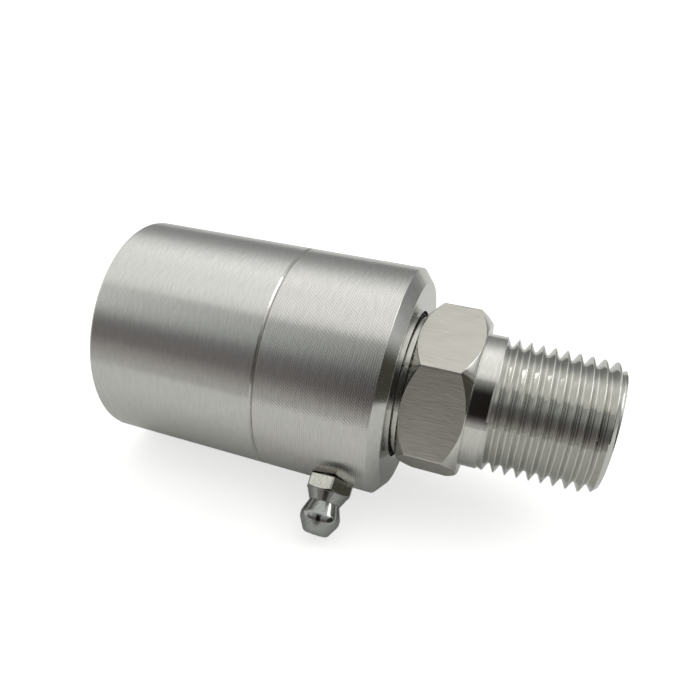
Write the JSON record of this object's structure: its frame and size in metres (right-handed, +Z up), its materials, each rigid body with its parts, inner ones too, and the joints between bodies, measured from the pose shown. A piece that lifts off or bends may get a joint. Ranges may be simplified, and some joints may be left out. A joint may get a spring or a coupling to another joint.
{
  "type": "hose reel swivel joint",
  "caption": "Straight in-line swivel joint with a round two-part housing, a rear female pipe port, a turning spindle with hexagon and male taper pipe thread, and a side grease nipple.",
  "frame": {"origin": "on the swivel axis where the rear port's thread starts, 1.2 mm inside the rear face", "axes": "+X along the swivel axis towards the male thread, +Z up as the joint lies on a table, -Y to the side that the grease nipple leans to"},
  "size_m": [0.0808, 0.0429, 0.038],
  "materials": {
    "turned_housing_steel": "fine turned stainless steel",
    "turned_spindle_steel": "turned and milled stainless steel",
    "bearing_steel": "ground and polished bearing steel",
    "spring_steel": "dark spring steel",
    "nipple_steel": "bright zinc plated steel",
    "cage_polyamide": "natural polyamide",
    "seal_rubber": "black nitrile rubber",
    "guide_plastic": "white low friction plastic"
  },
  "bodies": {
    "housing": {"rear_body": "turned_housing_steel", "bearing_housing": "turned_housing_steel", "front_outer_race": "bearing_steel", "rear_outer_race": "bearing_steel", "outer_spacer": "turned_housing_steel", "dust_wiper": "seal_rubber", "grease_nipple": "nipple_steel", "nipple_spring": "spring_steel"},
    "spindle": {"spindle": "turned_spindle_steel", "front_inner_race": "bearing_steel", "rear_inner_race": "bearing_steel", "inner_spacer": "turned_spindle_steel", "shaft_circlip": "spring_steel", "guide_ring": "guide_plastic", "pressure_o_ring": "seal_rubber", "backup_ring": "guide_plastic", "second_o_ring": "seal_rubber"},
    "front_ball_set": {"front_balls": "bearing_steel", "front_cage": "cage_polyamide"},
    "rear_ball_set": {"rear_balls": "bearing_steel", "rear_cage": "cage_polyamide"},
    "nipple_valve": {"nipple_valve_ball": "bearing_steel"}
  },
  "joints": [
    {"name": "spindle_swivel", "type": "hinge", "parent": "housing", "child": "spindle", "pos_m": [0.0405, 0, 0], "axis": [1, 0, 0], "continuous": true},
    {"name": "front_ball_orbit", "type": "hinge", "parent": "housing", "child": "front_ball_set", "pos_m": [0.0435, 0, 0], "axis": [1, 0, 0], "continuous": true},
    {"name": "rear_ball_orbit", "type": "hinge", "parent": "housing", "child": "rear_ball_set", "pos_m": [0.0375, 0, 0], "axis": [1, 0, 0], "continuous": true},
    {"name": "nipple_valve_slide", "type": "slide", "parent": "housing", "child": "nipple_valve", "axis": [0, 0.807, 0.5906], "range_m": [0, 0.0008], "stiffness_N_per_m": 300, "springref_m": -0.0006, "deforming": ["nipple_spring"]}
  ],
  "couplings": [
    {"joint": "front_ball_orbit", "follows": "spindle_swivel", "ratio": 0.44565},
    {"joint": "rear_ball_orbit", "follows": "spindle_swivel", "ratio": 0.44565}
  ]
}
